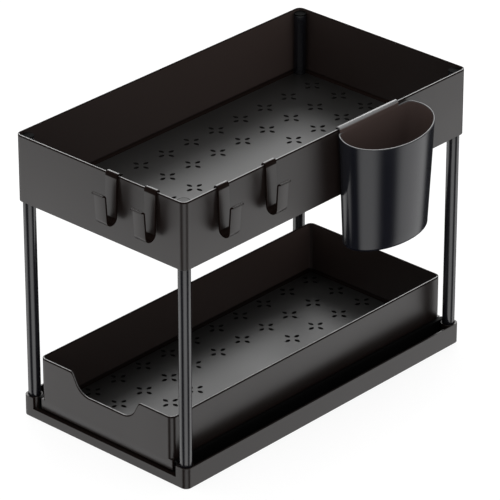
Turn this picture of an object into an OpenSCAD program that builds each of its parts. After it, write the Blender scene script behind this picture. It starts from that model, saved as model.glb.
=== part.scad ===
// Two-tier under sink organizer: a shallow base tray with a sliding drawer, four
// poles, an upper tray, one hanging cup and four strip hooks.
// Origin: centre of the footprint, on the surface that it stands on. The drawer
// opens towards -Y, and the cup hangs on the +X side. All sizes are millimetres.

/* [Overall] */
// Outer width of the base and of the upper tray
body_w = 212; // [190:1:260]
// Outer depth of the base and of the upper tray
body_d = 388; // [340:1:460]
// Height of the upper tray's rim above the floor
rim_z = 293; // [260:1:340]
// Radius of the outer upright corners
corner_r = 6.2; // [4:0.1:7]
// Thickness of the moulded walls
wall_t = 1.8; // [1.4:0.1:2]
// Thickness of the moulded floors
floor_t = 2.4; // [2:0.1:3]
// Clearance between a moving piece and its seat
seat_gap = 0.3; // [0.2:0.05:0.4]

/* [Base tray] */
// Height of the base's side walls
side_h = 21; // [20:0.5:22]
// Height of the deck that the drawer runs over
deck_z = 9.2; // [8:0.1:10]
// Height of the low lip behind the drawer
back_lip_z = 13; // [11:0.5:18]
// Width of the upright corner returns beside the drawer's opening
return_w = 13.5; // [12:0.1:14]
// Thickness of the corner returns
return_t = 4.2; // [3:0.1:5]
// Thickness of the round socket wall at each pole's foot
socket_t = 1.3; // [1:0.1:1.4]
// Thickness of the ribs under the deck
rib_t = 3; // [2:0.5:5]
// Number of cross ribs under the deck
cross_ribs = 5; // [3:2:9]

/* [Poles] */
// Outer diameter of the poles
pole_d = 12; // [10:0.5:12]
// Wall thickness of the pole tubes
pole_t = 1.2; // [1:0.1:1.6]
// Distance from the outer faces to each pole's axis
pole_inset = 8; // [8:0.1:8.3]
// Length of the threaded block in each tube end
end_block = 12; // [8:1:16]
// Depth of the post tops below the upper tray's rim
post_drop = 2; // [1:0.5:10]
// Thickness of the visible disc of each post cap
cap_t = 1.2; // [0.8:0.1:2]
// Diameter of the screws that hold the base
screw_d = 4; // [3:0.5:4]
// Diameter of the countersunk screw heads
screw_head_d = 7.6; // [7:0.1:8]
// Diameter of the studs that clamp the upper tray
stud_d = 6; // [4:0.5:6]

/* [Upper tray] */
// Height of the upper tray's walls
tray_h = 68; // [50:1:90]

/* [Petal pattern] */
// Distance between the motifs along and across the floors
motif_pitch = 34.3; // [28:0.1:44]
// Length of one petal
petal_l = 7.6; // [5:0.1:9]
// Width of one petal
petal_w = 4.2; // [2.6:0.1:4.6]
// Distance from the motif's centre to a petal's centre
petal_r = 6.5; // [5.6:0.1:8]
// Least distance from a motif to a wall
motif_margin = 3; // [2:0.5:8]

/* [Drawer] */
// Distance from the base's side faces in to the drawer's sides
drawer_side_gap = 21; // [21:0.5:30]
// Distance from the base's front face back to the drawer's front
drawer_front_gap = 3.5; // [2:0.5:8]
// Distance from the base's back face forward to the drawer's back
drawer_back_gap = 5; // [4:0.5:20]
// Height of the drawer's underside
drawer_z = 11.5; // [10:0.5:12]
// Height of the drawer's rim
drawer_rim_z = 66.5; // [56:0.5:110]
// Radius of the drawer's upright corners
drawer_r = 6; // [4:0.5:10]
// Height of the square-cornered plinth round the drawer's foot
plinth_h = 10.5; // [10:0.5:14]
// Width of the finger scoop's level bottom
scoop_bottom_w = 43; // [20:1:50]
// Depth of the scoop
scoop_h = 20; // [16:0.5:26]
// Steepness of the scoop's flanks in degrees
scoop_angle = 63; // [45:1:63]
// Radius where the scoop's flanks meet its bottom
scoop_foot_r = 19; // [8:1:20]
// Radius where the scoop's flanks meet the rim
scoop_top_r = 4.5; // [3:0.5:6]

/* [Drawer rails] */
// Sheet thickness of the rails and the runners
rail_t = 1.2; // [1:0.1:1.4]
// Top of the fixed rails
rail_top_z = 22; // [21:0.5:24]
// Width of the gap between the drawer's side and the fixed rail's web
runner_room = 3.9; // [3.6:0.1:4]
// Clearance between a runner and its channel
runner_gap = 0.4; // [0.3:0.05:0.6]

/* [Cup] */
// Distance from the body's centre back to the cup's centre
cup_y = 59.3; // [20:0.5:90]
// Width of the cup's oval along the tray at the rim line
cup_top_w = 114; // [90:1:130]
// Width of the cup's oval along the tray at its foot
cup_foot_w = 101; // [80:1:112]
// Half depth of the cup's oval at the rim line
cup_top_r = 33.7; // [28:0.1:40]
// Half depth of the cup's oval at its foot
cup_foot_r = 29.6; // [24:0.1:34]
// Distance from the cup's flat back to the oval's centre
cup_axis = 16.6; // [12:0.1:22]
// Height of the cup's foot
cup_foot_z = 176; // [120:1:200]
// Height of the cup's rim at its flat back
cup_rim_z = 290; // [280:0.5:291]
// Slope of the cup's rim, falling away from the tray
cup_slope = 0.19; // [0:0.01:0.3]
// Radius of the rounded lower edge of the cup
cup_edge_r = 5; // [3:0.5:8]
// Width of the lip that hooks over the tray's wall
lip_w = 81.5; // [50:0.5:90]
// Distance from the cup's centre forward to the lip's centre
lip_shift = 7; // [0:0.5:8]
// Depth of the lip inside the tray
lip_drop = 10; // [6:0.5:16]

/* [Hooks] */
// Width of the hook strip
hook_w = 14; // [10:0.5:16]
// Thickness of the hook strip
hook_t = 1.8; // [1.2:0.1:2.2]
// Height of the hooks' lowest point below the tray's rim
hook_drop = 46.5; // [36:0.5:60]
// Depth of the clip inside the tray
clip_drop = 9; // [6:0.5:16]
// Gap between the tray's wall and the hook's back plate at the rim
hook_stand_off = 0.3; // [0.3:0.1:3]
// How far the back plate leans out by the foot of the bend
hook_lean = 1.6; // [0:0.1:3]
// Inner radius of the hook's bend
hook_bend_r = 5; // [4:0.1:9]
// Height of the prong above the centre of the bend
prong_h = 23; // [12:0.5:30]
// Radius of the prong's curled tip
prong_tip_r = 3; // [2:0.1:4]
// Distances from the right wall's outside to the two hooks on the front wall
front_hook_reach = [87.8, 39.8]; // [26:0.1:160]
// Distances from the front wall's outside to the two hooks on the right wall
side_hook_reach = [49.3, 111.7]; // [26:0.1:140]

/* [Hidden] */

black_plastic = [0.16, 0.16, 0.16];
black_paint = [0.12, 0.12, 0.13];
black_insert = [0.06, 0.06, 0.06];
rail_grey = [0.35, 0.35, 0.36];
screw_grey = [0.55, 0.55, 0.56];

// Overshoot of a cut past the face that it opens
cut = 1;
// Overlap or thickness that only joins forms to each other
sliver = 0.01;
round_fn = 64;
arc_steps = 8;

half_w = body_w / 2;
half_d = body_d / 2;
tray_z = rim_z - tray_h;
pole_x = half_w - pole_inset;
pole_y = half_d - pole_inset;
post_top_z = rim_z - post_drop;
post_foot_z = tray_z + floor_t;
// Room of the screw and stud holes on the diameter
hole_room = 0.2;
screw_hole_d = screw_d + hole_room;
stud_hole_d = stud_d + hole_room;
screw_head_h = 1.8;
sink_h = screw_head_h + hole_room / 2;
screw_l = 10;
cap_plug_h = 8;
relief_w = 0.6;
relief_h = 1.2;

drawer_w = body_w - 2 * drawer_side_gap;
drawer_front_y = -half_d + drawer_front_gap;
drawer_back_y = half_d - drawer_back_gap;
drawer_mid_y = (drawer_front_y + drawer_back_y) / 2;
drawer_l = drawer_back_y - drawer_front_y;
plinth_z = drawer_z + plinth_h;

rail_web_x = drawer_w / 2 + runner_room;
channel_top_z = rail_top_z - rail_t;
channel_foot_z = deck_z + rail_t;
// Distance from the base's end faces in to the rails' ends
rail_end_gap = 5;
rail_l = body_d - 2 * rail_end_gap;
// Gap between the rails' flanges and the drawer's side
flange_gap = 1.4;
flange_w = runner_room - flange_gap;
runner_w = runner_room - runner_gap;
runner_h = channel_top_z - channel_foot_z - 2 * runner_gap;
runner_l = rail_l - 2 * rail_t - 2 * seat_gap;

cup_back_x = half_w + seat_gap;
// Middle slice of the cup's rounded foot edge, as a share of its radius
foot_slice = 0.3;
// The block that cuts the cup's rim, from behind its back to past its front
rim_cut_back = 20;
rim_cut_l = 160;
rim_cut_h = 60;
// How far the lip reaches down the cup's back
lip_root = 6;
lip_y = cup_y - lip_shift;
lip_t = wall_t;
lip_top_z = rim_z + seat_gap + lip_t;

// A rectangle with round corners, centred on the origin
module round_rect(w, d, r) {
    square([w - 2 * r, d], center = true);
    square([w, d - 2 * r], center = true);
    for (sx = [-1, 1], sy = [-1, 1])
        translate([sx * (w / 2 - r), sy * (d / 2 - r)]) circle(r, $fn = round_fn);
}

// One petal: the lens where two equal circles overlap, pointing along +X
module petal() {
    lens_r = (pow(petal_l / 2, 2) + pow(petal_w / 2, 2)) / petal_w;
    intersection() {
        translate([0, lens_r - petal_w / 2]) circle(lens_r, $fn = round_fn);
        translate([0, petal_w / 2 - lens_r]) circle(lens_r, $fn = round_fn);
    }
}

// Four petals round one point
module motif() {
    for (turn = [0, 90, 180, 270]) rotate(turn) translate([petal_r, 0]) petal();
}

// How many motifs fit on each side of the centre line of a floor
function motif_count(inner_l) =
    floor((inner_l / 2 - petal_r - petal_l / 2 - motif_margin) / motif_pitch);

// The whole pattern of a floor, with three motifs left out in the middle
module motif_field(inner_w, inner_d) {
    columns = motif_count(inner_w);
    rows = motif_count(inner_d);
    for (c = [-columns:columns], r = [-rows:rows])
        if (c != 0 || abs(r) > 1) translate([c * motif_pitch, r * motif_pitch]) motif();
}

// Calls its children at one corner, mirrored so that the corner faces outwards
module at_corner(sx, sy) {
    translate([sx * pole_x, sy * pole_y, 0]) children();
}

// A pan standing on its walls and ribs, with a deck, corner returns and pole sockets
module base_tray() {
    opening_w = body_w - 2 * return_w;
    inner_w = body_w - 2 * wall_t;
    inner_d = body_d - 2 * wall_t;
    rib_pitch = body_d / (cross_ribs + 1);
    color(black_plastic) difference() {
        union() {
            linear_extrude(side_h) difference() {
                round_rect(body_w, body_d, corner_r);
                round_rect(inner_w, inner_d, corner_r - wall_t);
            }
            translate([0, 0, deck_z - floor_t]) linear_extrude(floor_t)
                round_rect(body_w - wall_t, body_d - wall_t, corner_r - wall_t / 2);
            translate([-rib_t / 2, -half_d + wall_t / 2, 0])
                cube([rib_t, body_d - wall_t, deck_z - floor_t / 2]);
            for (i = [1:cross_ribs])
                translate([-half_w + wall_t / 2, -half_d + i * rib_pitch - rib_t / 2, 0])
                    cube([body_w - wall_t, rib_t, deck_z - floor_t / 2]);
            for (sx = [-1, 1], sy = [-1, 1]) {
                at_corner(sx, sy) cylinder(d = pole_d + 2 * socket_t, h = side_h, $fn = round_fn);
                translate([sx * (half_w - return_w), sy * half_d, deck_z - floor_t / 2])
                    mirror([sx < 0 ? 1 : 0, sy > 0 ? 1 : 0, 0])
                        cube([return_w - corner_r, return_t, side_h - deck_z + floor_t / 2]);
            }
        }
        translate([-opening_w / 2, -half_d - cut, deck_z]) cube([opening_w, wall_t + 2 * cut, side_h]);
        translate([-opening_w / 2, half_d - wall_t - cut, back_lip_z])
            cube([opening_w, wall_t + 2 * cut, side_h]);
        for (sx = [-1, 1], sy = [-1, 1]) at_corner(sx, sy) pole_seat();
    }
}

// The bore for a pole, with a shallow relief at its mouth and a countersunk screw hole
module pole_seat() {
    translate([0, 0, floor_t]) cylinder(d = pole_d, h = side_h, $fn = round_fn);
    translate([0, 0, side_h - relief_h]) cylinder(d = pole_d + 2 * relief_w, h = side_h, $fn = round_fn);
    translate([0, 0, -cut]) cylinder(d = screw_hole_d, h = floor_t + 2 * cut, $fn = 32);
    translate([0, 0, -sliver])
        cylinder(d1 = screw_head_d + hole_room, d2 = screw_hole_d, h = sink_h, $fn = 32);
}

// A tube with threaded end blocks
module pole(sx, sy) {
    length = tray_z - floor_t;
    color(black_paint) at_corner(sx, sy) translate([0, 0, floor_t]) difference() {
        cylinder(d = pole_d, h = length, $fn = round_fn);
        translate([0, 0, end_block])
            cylinder(d = pole_d - 2 * pole_t, h = length - 2 * end_block, $fn = round_fn);
        translate([0, 0, -cut]) cylinder(d = screw_d, h = end_block + 2 * cut, $fn = 32);
        translate([0, 0, length - end_block - cut]) cylinder(d = stud_d, h = end_block + 2 * cut, $fn = 32);
    }
}

module base_screws() {
    color(screw_grey) for (sx = [-1, 1], sy = [-1, 1]) at_corner(sx, sy) {
        cylinder(d1 = screw_head_d, d2 = screw_d, h = screw_head_h, $fn = 32);
        cylinder(d = screw_d, h = floor_t + screw_l, $fn = 32);
    }
}

module upper_tray() {
    inner_w = body_w - 2 * wall_t;
    inner_d = body_d - 2 * wall_t;
    color(black_plastic) {
        translate([0, 0, tray_z]) linear_extrude(floor_t) difference() {
            round_rect(body_w, body_d, corner_r);
            motif_field(inner_w, inner_d);
            for (sx = [-1, 1], sy = [-1, 1])
                translate([sx * pole_x, sy * pole_y]) circle(d = stud_hole_d, $fn = 32);
        }
        translate([0, 0, tray_z + floor_t]) linear_extrude(tray_h - floor_t) difference() {
            round_rect(body_w, body_d, corner_r);
            round_rect(inner_w, inner_d, corner_r - wall_t);
        }
    }
}

// The short tube that clamps the upper tray onto its pole
module post(sx, sy) {
    length = post_top_z - cap_t - post_foot_z;
    color(black_paint) at_corner(sx, sy) translate([0, 0, post_foot_z]) difference() {
        cylinder(d = pole_d, h = length, $fn = round_fn);
        translate([0, 0, end_block])
            cylinder(d = pole_d - 2 * pole_t, h = length, $fn = round_fn);
        translate([0, 0, -cut]) cylinder(d = stud_d, h = end_block + 2 * cut, $fn = 32);
    }
}

module post_caps() {
    color(black_insert) for (sx = [-1, 1], sy = [-1, 1]) at_corner(sx, sy) {
        translate([0, 0, post_top_z - cap_t]) cylinder(d = pole_d, h = cap_t, $fn = round_fn);
        translate([0, 0, post_top_z - cap_t - cap_plug_h])
            cylinder(d = pole_d - 2 * pole_t, h = cap_plug_h + sliver, $fn = round_fn);
    }
}

module tray_studs() {
    color(screw_grey) for (sx = [-1, 1], sy = [-1, 1]) at_corner(sx, sy)
        translate([0, 0, tray_z - end_block])
            cylinder(d = stud_d, h = 2 * end_block + floor_t, $fn = 32);
}

// A folded channel standing on the deck, open towards the drawer and closed at the back
module rail(side) {
    reach = flange_w + rail_t;
    left_x = rail_web_x - flange_w;
    color(rail_grey) mirror([side < 0 ? 1 : 0, 0, 0]) {
        translate([rail_web_x, -rail_l / 2, deck_z]) cube([rail_t, rail_l, rail_top_z - deck_z]);
        for (z = [deck_z, channel_top_z])
            translate([left_x, -rail_l / 2, z]) cube([reach, rail_l, rail_t]);
        translate([left_x, rail_l / 2 - rail_t, deck_z]) cube([reach, rail_t, rail_top_z - deck_z]);
    }
}

module drawer() {
    inner_w = drawer_w - 2 * wall_t;
    inner_l = drawer_l - 2 * wall_t;
    inner_r = drawer_r - wall_t;
    color(black_plastic) translate([0, drawer_mid_y, 0]) difference() {
        union() {
            translate([0, 0, drawer_z]) linear_extrude(floor_t) difference() {
                square([drawer_w, drawer_l], center = true);
                motif_field(inner_w, inner_l);
            }
            translate([0, 0, drawer_z + floor_t]) linear_extrude(plinth_h - floor_t) difference() {
                square([drawer_w, drawer_l], center = true);
                round_rect(inner_w, inner_l, inner_r);
            }
            translate([0, 0, plinth_z]) linear_extrude(drawer_rim_z - plinth_z) difference() {
                round_rect(drawer_w, drawer_l, drawer_r);
                round_rect(inner_w, inner_l, inner_r);
            }
        }
        translate([0, -drawer_l / 2 + wall_t + cut, drawer_rim_z]) rotate([90, 0, 0])
            linear_extrude(wall_t + 2 * cut) scoop();
    }
}

// Points along an arc
function arc(x, y, r, from, to) =
    [for (i = [0:arc_steps]) let (a = from + (to - from) * i / arc_steps)
        [x + r * cos(a), y + r * sin(a)]];

// Outline of the finger scoop, below the rim line at y = 0
module scoop() {
    right_foot = arc(scoop_bottom_w / 2, scoop_foot_r - scoop_h, scoop_foot_r, -90, -90 + scoop_angle);
    foot_end = right_foot[arc_steps];
    top_start_y = -scoop_top_r * (1 - cos(scoop_angle));
    top_start_x = foot_end[0] + (top_start_y - foot_end[1]) / tan(scoop_angle);
    top_x = top_start_x + scoop_top_r * sin(scoop_angle);
    right_top = arc(top_x, -scoop_top_r, scoop_top_r, 90 + scoop_angle, 90);
    right = concat(right_foot, right_top, [[top_x, cut]]);
    left = [for (i = [len(right) - 1:-1:0]) [-right[i][0], right[i][1]]];
    polygon(concat(right, left));
}

// A bar on the drawer's side that runs in the fixed rail
module runner(side) {
    color(rail_grey) mirror([side < 0 ? 1 : 0, 0, 0])
        translate([drawer_w / 2, -runner_l / 2, channel_foot_z + runner_gap]) difference() {
            cube([runner_w, runner_l, runner_h]);
            translate([rail_t, -cut, rail_t])
                cube([runner_w, runner_l + 2 * cut, runner_h - 2 * rail_t]);
        }
}

// A thin level slice of the cup's oval, cut flat at the tray's side
module cup_slice(half_y, half_x, inset, z) {
    back = cup_back_x + inset;
    translate([0, cup_y, z]) linear_extrude(sliver) intersection() {
        translate([cup_back_x + cup_axis, 0]) scale([(half_x - inset) / (half_y - inset), 1])
            circle(half_y - inset, $fn = 96);
        translate([back, -half_y]) square([2 * half_x + cup_axis, 2 * half_y]);
    }
}

// The cup's solid form, inset by the wall for its hollow
module cup_form(inset, foot_z, edge_r) {
    hull() {
        cup_slice(cup_top_w / 2, cup_top_r, inset, cup_rim_z + cut);
        cup_slice(cup_foot_w / 2, cup_foot_r, inset, foot_z + edge_r);
        cup_slice(cup_foot_w / 2, cup_foot_r, inset + foot_slice * edge_r, foot_z + foot_slice * edge_r);
        cup_slice(cup_foot_w / 2, cup_foot_r, inset + edge_r, foot_z);
    }
}

module cup() {
    lip_in_x = half_w - wall_t - seat_gap - lip_t;
    color(black_plastic) {
        difference() {
            cup_form(0, cup_foot_z, cup_edge_r);
            cup_form(wall_t, cup_foot_z + wall_t, cup_edge_r);
            translate([cup_back_x, 0, cup_rim_z]) rotate([0, atan(cup_slope), 0])
                translate([-rim_cut_back, -half_d, 0]) cube([rim_cut_l, body_d, rim_cut_h]);
        }
        translate([cup_back_x, lip_y - lip_w / 2, cup_rim_z - lip_root])
            cube([lip_t, lip_w, lip_top_z - cup_rim_z + lip_root]);
        translate([lip_in_x, lip_y - lip_w / 2, lip_top_z - lip_t])
            cube([cup_back_x - lip_in_x + lip_t, lip_w, lip_t]);
        translate([lip_in_x, lip_y - lip_w / 2, rim_z - lip_drop])
            cube([lip_t, lip_w, lip_drop + lip_top_z - rim_z]);
    }
}

// Both sides of a strip of thickness t along the middle line given by points
function strip_side(path, t, side) =
    [for (i = [0:len(path) - 1])
        let (a = path[max(i - 1, 0)], b = path[min(i + 1, len(path) - 1)], d = b - a)
            path[i] + side * t / 2 * [-d[1], d[0]] / norm(d)];

// The hook's profile: +X points away from the wall, and the rim's edge is the origin
module hook_profile() {
    mid_r = hook_bend_r + hook_t / 2;
    clip_r = hook_t;
    top_y = seat_gap + hook_t / 2;
    in_x = -wall_t - seat_gap - hook_t / 2;
    out_x = hook_stand_off + hook_t / 2;
    bend_y = -hook_drop + mid_r + hook_t / 2;
    bend_x = out_x + hook_lean + mid_r;
    tip_x = bend_x + mid_r + hook_lean;
    path = concat(
        [[in_x, -clip_drop]],
        arc(in_x + clip_r, top_y - clip_r, clip_r, 180, 90),
        arc(out_x - clip_r, top_y - clip_r, clip_r, 90, 0),
        arc(bend_x, bend_y, mid_r, 180, 360),
        arc(tip_x + prong_tip_r, bend_y + prong_h, prong_tip_r, 180, 80)
    );
    far = strip_side(path, hook_t, 1);
    near = strip_side(path, hook_t, -1);
    polygon(concat(far, [for (i = [len(near) - 1:-1:0]) near[i]]));
}

// One hook, its strip centred on the origin, hanging on a wall whose outside is +X
module hook() {
    color(black_plastic) rotate([90, 0, 0]) translate([0, 0, -hook_w / 2])
        linear_extrude(hook_w) hook_profile();
}

module front_hook(reach) {
    translate([half_w - reach, -half_d, rim_z]) rotate(-90) hook();
}

module side_hook(reach) {
    translate([half_w, reach - half_d, rim_z]) hook();
}

base_tray();
pole(-1, -1);  // pole_front_left
pole(1, -1);  // pole_front_right
pole(-1, 1);  // pole_back_left
pole(1, 1);  // pole_back_right
base_screws();
upper_tray();
post(-1, -1);  // post_front_left
post(1, -1);  // post_front_right
post(-1, 1);  // post_back_left
post(1, 1);  // post_back_right
post_caps();
tray_studs();
rail(-1);  // rail_left
rail(1);  // rail_right
drawer();
runner(-1);  // runner_left
runner(1);  // runner_right
cup();
front_hook(front_hook_reach[0]);  // hook_front_left
front_hook(front_hook_reach[1]);  // hook_front_right
side_hook(side_hook_reach[0]);  // hook_side_front
side_hook(side_hook_reach[1]);  // hook_side_back
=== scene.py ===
# %% [markdown]
# # Under sink organizer
# A black two-tier organizer: a shallow base with a sliding drawer, four round poles, an upper
# tray, a hanging cup and four strip hooks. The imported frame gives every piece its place, so the
# first step loads it and keeps the box that the looks must stay inside.

# %% Load the frame
import math
import bmesh
import bpy
import numpy as np
from mathutils import Matrix, Vector


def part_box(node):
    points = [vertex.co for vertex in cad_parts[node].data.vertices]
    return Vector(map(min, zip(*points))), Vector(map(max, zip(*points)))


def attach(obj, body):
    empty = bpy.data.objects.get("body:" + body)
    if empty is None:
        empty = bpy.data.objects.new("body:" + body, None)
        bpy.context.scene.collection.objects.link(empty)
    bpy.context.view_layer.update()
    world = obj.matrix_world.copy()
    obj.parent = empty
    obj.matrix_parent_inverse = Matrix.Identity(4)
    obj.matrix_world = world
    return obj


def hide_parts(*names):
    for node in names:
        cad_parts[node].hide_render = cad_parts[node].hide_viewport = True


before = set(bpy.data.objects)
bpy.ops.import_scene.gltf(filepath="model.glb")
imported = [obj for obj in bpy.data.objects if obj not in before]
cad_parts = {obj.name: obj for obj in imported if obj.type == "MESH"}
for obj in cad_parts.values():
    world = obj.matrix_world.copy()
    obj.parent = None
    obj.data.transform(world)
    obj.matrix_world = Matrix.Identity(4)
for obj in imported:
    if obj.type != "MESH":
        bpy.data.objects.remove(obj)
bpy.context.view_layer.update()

MM = 0.001

# %% [markdown]
# ## Camera
# The photograph looks down on the front right corner with a long lens, so lines that run away
# from the eye hardly meet. The place and the direction were worked out from the straight edges
# of the trays, and the lens from how fast those edges draw together.

# %% Camera
CAMERA_PLACE = Vector((2.2412, -2.4328, 1.8476))
CAMERA_LOOK = Vector((-0.60059, 0.65387, -0.46015))
PHOTO_WIDTH_PX = 500
FOCAL_PX = 3939.3
CENTRE_SHIFT_PX = (0.04, 3.07)

camera_data = bpy.data.cameras.new("camera")
camera_data.lens = FOCAL_PX / PHOTO_WIDTH_PX * camera_data.sensor_width
camera_data.shift_x = -CENTRE_SHIFT_PX[0] / PHOTO_WIDTH_PX
camera_data.shift_y = CENTRE_SHIFT_PX[1] / PHOTO_WIDTH_PX
camera_data.clip_end = 50
camera = bpy.data.objects.new("camera", camera_data)
camera.matrix_world = Matrix.Translation(CAMERA_PLACE) @ CAMERA_LOOK.to_track_quat("-Z", "Y").to_matrix().to_4x4()
bpy.context.collection.objects.link(camera)
bpy.context.scene.camera = camera
print("lens", round(camera_data.lens, 1), "mm")

# %% [markdown]
# ## Floor, lamps and world
# The real organizer stands on white, and its round forms show three upright bright bands with
# dark ones between them. So the world has three soft lights round about, one to the left, one
# behind the eye and one to the right, and the mirror-like faces look straight through the floor
# at them. Large soft lamps overhead and behind give the pale sheen on the trays' floors.

# %% Floor
FLOOR_HALF = 6.0
FLOOR_GLOW = 1.08
FLOOR_GLOW_SHARE = 0.8


def floor_material():
    """Matt white paint, mixed for the eye with an even glow that keeps the shadows light."""
    mat = bpy.data.materials.new("white floor")
    mat.use_nodes = True
    nodes, link = mat.node_tree.nodes, mat.node_tree.links.new
    paint = nodes["Principled BSDF"]
    paint.inputs["Base Color"].default_value = (0.92, 0.92, 0.92, 1)
    paint.inputs["Roughness"].default_value = 0.9
    paint.inputs["Specular IOR Level"].default_value = 0.0
    light = nodes.new("ShaderNodeEmission")
    light.inputs["Strength"].default_value = FLOOR_GLOW
    amount = nodes.new("ShaderNodeMath")
    amount.operation = "MULTIPLY"
    amount.inputs[1].default_value = FLOOR_GLOW_SHARE
    link(nodes.new("ShaderNodeLightPath").outputs["Is Camera Ray"], amount.inputs[0])
    mix = nodes.new("ShaderNodeMixShader")
    link(amount.outputs[0], mix.inputs["Fac"])
    link(paint.outputs["BSDF"], mix.inputs[1])
    link(light.outputs["Emission"], mix.inputs[2])
    link(mix.outputs["Shader"], nodes["Material Output"].inputs["Surface"])
    return mat


floor_mesh = bpy.data.meshes.new("floor")
floor_mesh.from_pydata(
    [(-FLOOR_HALF, -FLOOR_HALF, 0), (FLOOR_HALF, -FLOOR_HALF, 0),
     (FLOOR_HALF, FLOOR_HALF, 0), (-FLOOR_HALF, FLOOR_HALF, 0)], [], [(0, 1, 2, 3)])
floor_mesh.materials.append(floor_material())
floor = bpy.data.objects.new("floor", floor_mesh)
floor.visible_glossy = False
floor.visible_shadow = False
bpy.context.collection.objects.link(floor)

# %% Lamps and world


def soft_lamp(name, place, target, size, watts):
    """A rectangular area lamp at place, turned towards target."""
    data = bpy.data.lights.new(name, "AREA")
    data.shape = "RECTANGLE"
    data.size, data.size_y = size
    data.energy = watts
    lamp = bpy.data.objects.new(name, data)
    aim = (Vector(target) - Vector(place)).to_track_quat("-Z", "Y")
    lamp.matrix_world = Matrix.Translation(place) @ aim.to_matrix().to_4x4()
    bpy.context.collection.objects.link(lamp)
    return lamp


soft_lamp("overhead lamp", (0, 0, 2.6), (0, 0, 0), (3.0, 3.0), 36)
soft_lamp("back lamp", (-1.9, 2.1, 1.5), (0, 0, 0.2), (2.6, 1.8), 42)
soft_lamp("left lamp", (-2.2, -1.6, 1.4), (0, 0, 0.2), (1.2, 1.2), 5)

# Each soft light is its azimuth, the half widths of its full and its whole spread, and its strength
ROUND_LIGHTS = ((-145, 20, 40, 1.25), (-38, 10, 40, 1.5), (53, 16, 33, 1.35))
DIM_ROOM = 0.03
SKY = 0.6
HORIZON_BLUR = 0.06


def studio_world():
    """An even sky above the horizon, and below it a dim room with soft lights round about."""
    world = bpy.data.worlds.new("studio")
    world.use_nodes = True
    nodes, link = world.node_tree.nodes, world.node_tree.links.new
    way = nodes.new("ShaderNodeTexCoord").outputs["Generated"]
    level = nodes.new("ShaderNodeVectorMath")
    level.operation = "MULTIPLY"
    level.inputs[1].default_value = (1, 1, 0)
    link(way, level.inputs[0])
    compass = nodes.new("ShaderNodeVectorMath")
    compass.operation = "NORMALIZE"
    link(level.outputs["Vector"], compass.inputs[0])
    total = None
    for azimuth, full, whole, strength in ROUND_LIGHTS:
        towards = nodes.new("ShaderNodeVectorMath")
        towards.operation = "DOT_PRODUCT"
        towards.inputs[1].default_value = (math.cos(math.radians(azimuth)), math.sin(math.radians(azimuth)), 0)
        link(compass.outputs["Vector"], towards.inputs[0])
        lobe = nodes.new("ShaderNodeMapRange")
        lobe.interpolation_type = "SMOOTHSTEP"
        lobe.inputs["From Min"].default_value = math.cos(math.radians(whole))
        lobe.inputs["From Max"].default_value = math.cos(math.radians(full))
        lobe.inputs["To Max"].default_value = strength
        link(towards.outputs["Value"], lobe.inputs["Value"])
        added = nodes.new("ShaderNodeMath")
        added.operation = "ADD"
        added.inputs[1].default_value = DIM_ROOM
        link(lobe.outputs["Result"], added.inputs[0])
        if total is not None:
            link(total, added.inputs[1])
        total = added.outputs[0]
    height = nodes.new("ShaderNodeSeparateXYZ")
    link(way, height.inputs[0])
    strength = nodes.new("ShaderNodeMapRange")
    strength.inputs["From Min"].default_value = -HORIZON_BLUR
    strength.inputs["From Max"].default_value = HORIZON_BLUR
    strength.inputs["To Max"].default_value = SKY
    link(height.outputs["Z"], strength.inputs["Value"])
    link(total, strength.inputs["To Min"])
    link(strength.outputs["Result"], nodes["Background"].inputs["Strength"])
    nodes["Background"].inputs["Color"].default_value = (1, 1, 1, 1)
    return world


bpy.context.scene.world = studio_world()
bpy.context.scene.view_settings.view_transform = "Standard"

# %% [markdown]
# ## Surface finishes
# Everything is black, so the finish is told by how the light lies on it. Moulded plastic has a
# fine spark-eroded grain and a little unevenness in its gloss and tone. Light and shade are also
# painted in: paler lines on rim and strip tops are painted highlights, inner faces get a paler,
# browner painted sheen, and painted shade takes the shine off cut edges, hole walls, coves, caps
# and thin lines under the rims. One node group makes these effects, and each material mixes them
# in its own strength. The pieces carry three attributes: one that is 1 where a highlight is
# painted, one that is 1 where shade is painted, and one for the sheen painted on inner faces.

# %% The finish group
BLOTCH_SPAN = (0.3, 0.7)
UNEVEN_TONE = 0.006
FULL_SHINE = 0.5
# Shine where shade is painted in full
PAINTED_SHADE_SHINE = 0.01


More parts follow.
